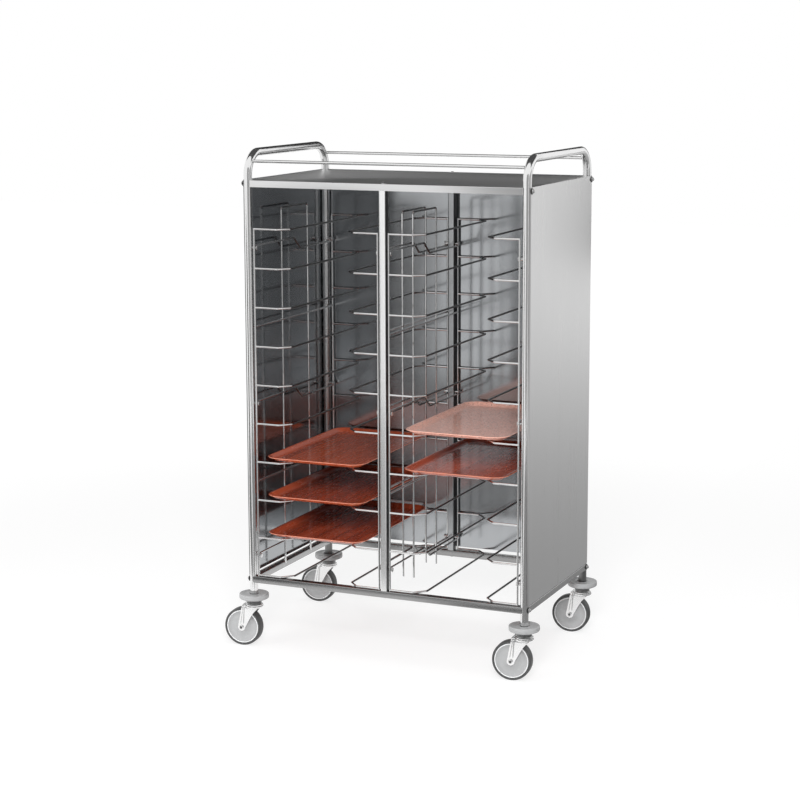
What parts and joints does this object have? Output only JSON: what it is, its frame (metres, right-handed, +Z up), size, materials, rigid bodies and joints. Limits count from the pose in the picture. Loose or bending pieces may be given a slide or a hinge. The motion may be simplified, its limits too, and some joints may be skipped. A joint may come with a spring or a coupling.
{
  "type": "enclosed meal tray cart",
  "caption": "Steel meal tray cart closed at the sides and back and open at the front, with wire tray racks in two bays, push handles, a railed top and swivel castors with bumpers.",
  "frame": {"origin": "the point of the floor under the middle of the frame", "axes": "+X to the right along the open front, +Y to the back, +Z up"},
  "size_m": [1.022, 0.6196, 1.5234],
  "materials": {
    "frame_tube": "polished stainless tube",
    "rail_steel": "satin stainless",
    "shelf_sheet": "brushed stainless sheet, lengthwise grain",
    "panel_sheet": "brushed stainless sheet, upright grain",
    "rack_wire": "bright polished wire",
    "tray_brown": "glossy red-brown laminate with a streaky grain",
    "tray_granite": "satin pinkish laminate with a fine speckle",
    "bumper": "grey, matt",
    "castor_steel": "bright zinc-plated pressed steel",
    "tyre": "dark grey, matt",
    "wheel_centre": "mid-grey, satin",
    "fastener": "bright stainless"
  },
  "bodies": {
    "cart": {"end_frame_left": "frame_tube", "end_frame_right": "frame_tube", "front_bottom_rail": "rail_steel", "rear_bottom_rail": "rail_steel", "left_bottom_rail": "rail_steel", "right_bottom_rail": "rail_steel", "front_middle_post": "rail_steel", "rear_middle_post": "rail_steel", "top_shelf": "shelf_sheet", "left_side_panel": "panel_sheet", "right_side_panel": "panel_sheet", "back_panel": "panel_sheet", "front_guard_rod": "frame_tube", "rear_guard_rod": "frame_tube", "left_bay_outer_rack": "rack_wire", "left_bay_inner_rack": "rack_wire", "right_bay_outer_rack": "rack_wire", "right_bay_inner_rack": "rack_wire", "front_left_bumper": "bumper", "front_left_swivel_head": "castor_steel", "rear_left_bumper": "bumper", "rear_left_swivel_head": "castor_steel", "front_right_bumper": "bumper", "front_right_swivel_head": "castor_steel", "rear_right_bumper": "bumper", "rear_right_swivel_head": "castor_steel", "front_left_lower_dome_bolt": "fastener", "front_left_upper_dome_bolt": "fastener", "rear_left_lower_dome_bolt": "fastener", "rear_left_upper_dome_bolt": "fastener", "front_right_lower_dome_bolt": "fastener", "front_right_upper_dome_bolt": "fastener", "rear_right_lower_dome_bolt": "fastener", "rear_right_upper_dome_bolt": "fastener", "front_upper_post_screw": "fastener", "front_lower_post_screw": "fastener", "rear_upper_post_screw": "fastener", "rear_lower_post_screw": "fastener"},
    "left_tray_level_7": {"left_tray_level_7": "tray_brown"},
    "left_tray_level_8": {"left_tray_level_8": "tray_brown"},
    "left_tray_level_9": {"left_tray_level_9": "tray_brown"},
    "right_tray_level_6": {"right_tray_level_6": "tray_granite"},
    "right_tray_level_7": {"right_tray_level_7": "tray_brown"},
    "front_left_castor": {"front_left_fork": "castor_steel", "front_left_axle": "castor_steel"},
    "front_left_wheel": {"front_left_tyre": "tyre", "front_left_wheel_centre": "wheel_centre"},
    "rear_left_castor": {"rear_left_fork": "castor_steel", "rear_left_axle": "castor_steel"},
    "rear_left_wheel": {"rear_left_tyre": "tyre", "rear_left_wheel_centre": "wheel_centre"},
    "front_right_castor": {"front_right_fork": "castor_steel", "front_right_axle": "castor_steel"},
    "front_right_wheel": {"front_right_tyre": "tyre", "front_right_wheel_centre": "wheel_centre"},
    "rear_right_castor": {"rear_right_fork": "castor_steel", "rear_right_axle": "castor_steel"},
    "rear_right_wheel": {"rear_right_tyre": "tyre", "rear_right_wheel_centre": "wheel_centre"}
  },
  "joints": [
    {"name": "left_tray_level_7_slide", "type": "slide", "parent": "cart", "child": "left_tray_level_7", "axis": [0, -1, 0], "range_m": [0, 0.56]},
    {"name": "left_tray_level_8_slide", "type": "slide", "parent": "cart", "child": "left_tray_level_8", "axis": [0, -1, 0], "range_m": [0, 0.56]},
    {"name": "left_tray_level_9_slide", "type": "slide", "parent": "cart", "child": "left_tray_level_9", "axis": [0, -1, 0], "range_m": [0, 0.56]},
    {"name": "right_tray_level_6_slide", "type": "slide", "parent": "cart", "child": "right_tray_level_6", "axis": [0, -1, 0], "range_m": [0, 0.56]},
    {"name": "right_tray_level_7_slide", "type": "slide", "parent": "cart", "child": "right_tray_level_7", "axis": [0, -1, 0], "range_m": [0, 0.56]},
    {"name": "front_left_swivel", "type": "hinge", "parent": "cart", "child": "front_left_castor", "pos_m": [-0.441, -0.264, 0.14], "axis": [0, 0, 1], "continuous": true},
    {"name": "front_left_roll", "type": "hinge", "parent": "front_left_castor", "child": "front_left_wheel", "pos_m": [-0.47537, -0.26701, 0.059], "axis": [-0.0872, 0.9962, 0], "continuous": true},
    {"name": "rear_left_swivel", "type": "hinge", "parent": "cart", "child": "rear_left_castor", "pos_m": [-0.441, 0.264, 0.14], "axis": [0, 0, 1], "continuous": true},
    {"name": "rear_left_roll", "type": "hinge", "parent": "rear_left_castor", "child": "rear_left_wheel", "pos_m": [-0.47537, 0.26099, 0.059], "axis": [-0.0872, 0.9962, 0], "continuous": true},
    {"name": "front_right_swivel", "type": "hinge", "parent": "cart", "child": "front_right_castor", "pos_m": [0.441, -0.264, 0.14], "axis": [0, 0, 1], "continuous": true},
    {"name": "front_right_roll", "type": "hinge", "parent": "front_right_castor", "child": "front_right_wheel", "pos_m": [0.40663, -0.26701, 0.059], "axis": [-0.0872, 0.9962, 0], "continuous": true},
    {"name": "rear_right_swivel", "type": "hinge", "parent": "cart", "child": "rear_right_castor", "pos_m": [0.441, 0.264, 0.14], "axis": [0, 0, 1], "continuous": true},
    {"name": "rear_right_roll", "type": "hinge", "parent": "rear_right_castor", "child": "rear_right_wheel", "pos_m": [0.40663, 0.26099, 0.059], "axis": [-0.0872, 0.9962, 0], "continuous": true}
  ]
}
